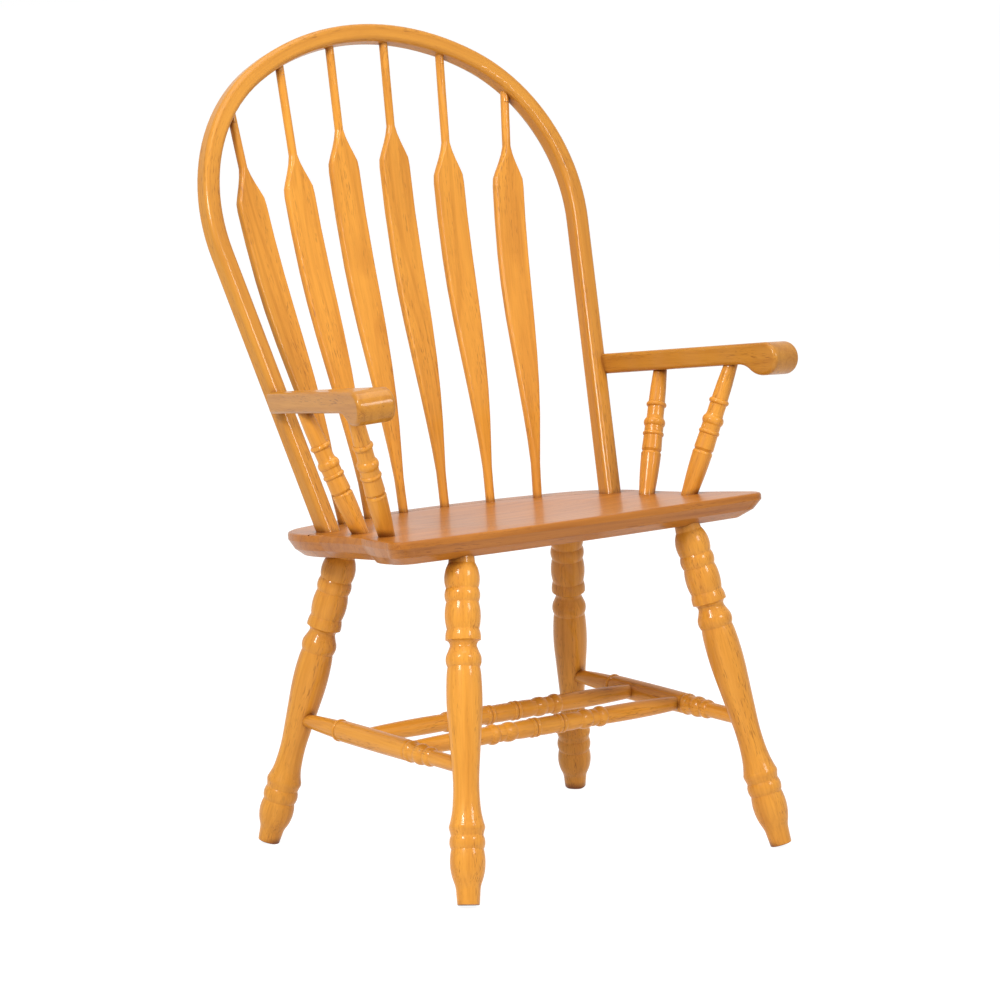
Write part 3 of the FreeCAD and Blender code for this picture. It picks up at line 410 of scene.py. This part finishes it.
@dataclass
class Woodwork:
    """The carried-over pieces of wood, each with its grain the way it was cut."""

    nodes: dict[str, bpy.types.Object]
    finish: WoodFinish = field(default_factory=WoodFinish)
    board_finish: WoodFinish = field(default_factory=lambda: WoodFinish(
        light=(0.58, 0.205, 0.024), dark=(0.36, 0.105, 0.011),
        pore=(0.20, 0.052, 0.006), coat_roughness=0.20))
    seat_grain: Vector = field(default_factory=lambda: Vector((1.0, 0.0, 0.0)))
    turned_tone: float = 0.92
    tone_spread: float = 0.06
    tone_step: float = 0.618

    def cut_of(self, name: str) -> Cut:
        """Says how a piece was sawn.

        Args:
            name: The node's name.

        Returns:
            Its cut.
        """
        if name.startswith(("leg", "arm_post", "side_stretcher", "cross_stretcher")):
            return Cut.TURNED
        return Cut.QUARTER if name == "back_bow" else Cut.PLAIN

    def tone_of(self, name: str) -> float:
        """Says how light a piece's wood is.

        Args:
            name: The node's name.

        Returns:
            Its tone, where 1 leaves the colours of the finish as they are.
        """
        tones = {"seat": 0.78, "arm_left": 0.68, "arm_right": 0.68,
                 "back_bow": 0.76, "screw_plugs": 0.76}
        return tones.get(name, self.turned_tone)

    def dress(self) -> None:
        """Gives every wooden node its own cut of the finish."""
        for order, (name, piece) in enumerate(sorted(self.nodes.items())):
            if name == "arm_screws":
                continue
            grain = self.seat_grain if name == "seat" else long_axis(piece)
            tone = self.tone_of(name) + self.tone_spread * math.modf(order * self.tone_step)[0]
            bend = BentGrain() if name == "back_bow" else None
            finish = self.board_finish if name == "seat" else self.finish
            material = finish.material("wood_" + name, grain, order + 1.0, self.cut_of(name), tone, bend)
            piece.data.materials.clear()
            piece.data.materials.append(material)
            LOG.info("%s dressed in wood", name)


@dataclass
class Studio:
    """Pale floor, soft lamps and the camera of the photograph."""

    azimuth: float = -38.14
    elevation: float = 9.633
    distance: float = 6.5634
    target: Vector = field(default_factory=lambda: Vector((0.0, -0.0755, 0.5)))
    lens: float = 184.27
    shift: tuple[float, float] = (-0.02458, -0.03526)
    floor_glow: float = 0.92
    floor_shade: float = 0.26
    daylight: float = 0.36
    floor_half: float = 12.0
    floor_tint: Colour = (0.86, 0.86, 0.86)
    sensor_width: float = 36.0
    view_reach: float = 100.0

    def away(self, azimuth: float, elevation: float) -> Vector:
        """Turns angles into a direction from the chair.

        Args:
            azimuth: Degrees about Z, 0 in front of the chair.
            elevation: Degrees above the floor.

        Returns:
            The unit direction.
        """
        turn, lift = math.radians(azimuth), math.radians(elevation)
        level = math.cos(lift)
        return Vector((math.sin(turn) * level, -math.cos(turn) * level, math.sin(lift)))

    def camera(self) -> None:
        """Puts the camera where the photograph was taken."""
        data = bpy.data.cameras.new("camera")
        data.lens = self.lens
        data.sensor_width = self.sensor_width
        data.shift_x, data.shift_y = self.shift
        data.clip_end = self.view_reach
        camera = bpy.data.objects.new("camera", data)
        camera.location = self.target + self.away(self.azimuth, self.elevation) * self.distance
        camera.rotation_euler = (math.radians(90.0 - self.elevation), 0.0, math.radians(self.azimuth))
        bpy.context.scene.collection.objects.link(camera)
        bpy.context.scene.camera = camera

    def lamp(self, name: str, azimuth: float, elevation: float, distance: float, side: float,
             watts: float) -> None:
        """Adds one soft square lamp that faces the chair.

        Args:
            name: The lamp's name.
            azimuth: Degrees about Z, 0 in front of the chair.
            elevation: Degrees above the floor.
            distance: Metres from the chair's middle.
            side: Length of the lamp's side.
            watts: Its power.
        """
        data = bpy.data.lights.new(name, "AREA")
        data.shape = "SQUARE"
        data.size = side
        data.energy = watts
        lamp = bpy.data.objects.new(name, data)
        lamp.location = self.target + self.away(azimuth, elevation) * distance
        lamp.rotation_euler = Euler((math.radians(90.0 - elevation), 0.0, math.radians(azimuth)))
        bpy.context.scene.collection.objects.link(lamp)

    def lamps(self) -> None:
        """Lights the chair softly from the front, one side and above."""
        self.lamp("key", -72.0, 36.0, 3.2, 0.7, 68.0)
        self.lamp("fill", 12.0, 30.0, 3.6, 0.9, 44.0)
        self.lamp("top", 0.0, 88.0, 2.8, 2.4, 45.0)

    def backdrop_rays(self, tree: bpy.types.NodeTree) -> bpy.types.NodeSocket:
        """Picks the rays that see the plain white surroundings.

        Args:
            tree: The nodes of the floor's material or of the world.

        Returns:
            1 for what the camera, a reflection or glass sees and 0 for the light on the chair.
        """
        path = tree.nodes.new("ShaderNodeLightPath")
        seen = path.outputs["Is Camera Ray"]
        for label in ("Is Glossy Ray", "Is Transmission Ray"):
            either = tree.nodes.new("ShaderNodeMath")
            either.operation = "MAXIMUM"
            tree.links.new(seen, either.inputs[0])
            tree.links.new(path.outputs[label], either.inputs[1])
            seen = either.outputs[0]
        return seen

    def floor(self) -> None:
        """Lays a pale floor that reads as white to the camera."""
        mesh = bmesh.new()
        bmesh.ops.create_grid(mesh, x_segments=1, y_segments=1, size=self.floor_half)
        data = bpy.data.meshes.new("floor")
        mesh.to_mesh(data)
        mesh.free()
        piece = bpy.data.objects.new("floor", data)
        bpy.context.scene.collection.objects.link(piece)
        material = bpy.data.materials.new("pale_floor")
        material.use_nodes = True
        tree = material.node_tree
        shader = tree.nodes["Principled BSDF"]
        shader.inputs["Base Color"].default_value = (*self.floor_tint, 1.0)
        shader.inputs["Roughness"].default_value = 0.9
        shader.inputs["Specular IOR Level"].default_value = 0.1
        glow = tree.nodes.new("ShaderNodeEmission")
        glow.inputs["Strength"].default_value = self.floor_glow
        shade = tree.nodes.new("ShaderNodeBsdfDiffuse")
        shade.inputs["Color"].default_value = (*[self.floor_shade] * 3, 1.0)
        seen = tree.nodes.new("ShaderNodeAddShader")
        mix = tree.nodes.new("ShaderNodeMixShader")
        tree.links.new(self.backdrop_rays(tree), mix.inputs["Fac"])
        tree.links.new(glow.outputs[0], seen.inputs[0])
        tree.links.new(shade.outputs[0], seen.inputs[1])
        tree.links.new(shader.outputs[0], mix.inputs[1])
        tree.links.new(seen.outputs[0], mix.inputs[2])
        tree.links.new(mix.outputs[0], tree.nodes["Material Output"].inputs["Surface"])
        data.materials.append(material)

    def world(self) -> None:
        """Surrounds the chair with even white light."""
        world = bpy.data.worlds.new("studio")
        world.use_nodes = True
        tree = world.node_tree
        background = tree.nodes["Background"]
        background.inputs["Color"].default_value = (1.0, 1.0, 1.0, 1.0)
        background.inputs["Strength"].default_value = self.daylight
        seen = tree.nodes.new("ShaderNodeBackground")
        seen.inputs["Color"].default_value = (1.0, 1.0, 1.0, 1.0)
        seen.inputs["Strength"].default_value = 1.0
        mix = tree.nodes.new("ShaderNodeMixShader")
        tree.links.new(self.backdrop_rays(tree), mix.inputs["Fac"])
        tree.links.new(background.outputs["Background"], mix.inputs[1])
        tree.links.new(seen.outputs["Background"], mix.inputs[2])
        tree.links.new(mix.outputs["Shader"], tree.nodes["World Output"].inputs["Surface"])
        bpy.context.scene.world = world
        bpy.context.scene.view_settings.view_transform = "Standard"

    def build(self) -> None:
        """Sets the whole studio up."""
        self.world()
        self.floor()
        self.lamps()
        self.camera()
        LOG.info("studio ready")


def main() -> None:
    """Builds the chair's looks and the studio."""
    logging.basicConfig(level=logging.INFO, format="%(message)s")
    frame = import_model()
    Woodwork(nodes=frame["nodes"]).dress()
    screws = frame["nodes"]["arm_screws"]
    screws.data.materials.clear()
    screws.data.materials.append(SteelFinish().material("screw_steel"))
    Studio().build()


if __name__ == "__main__":
    main()
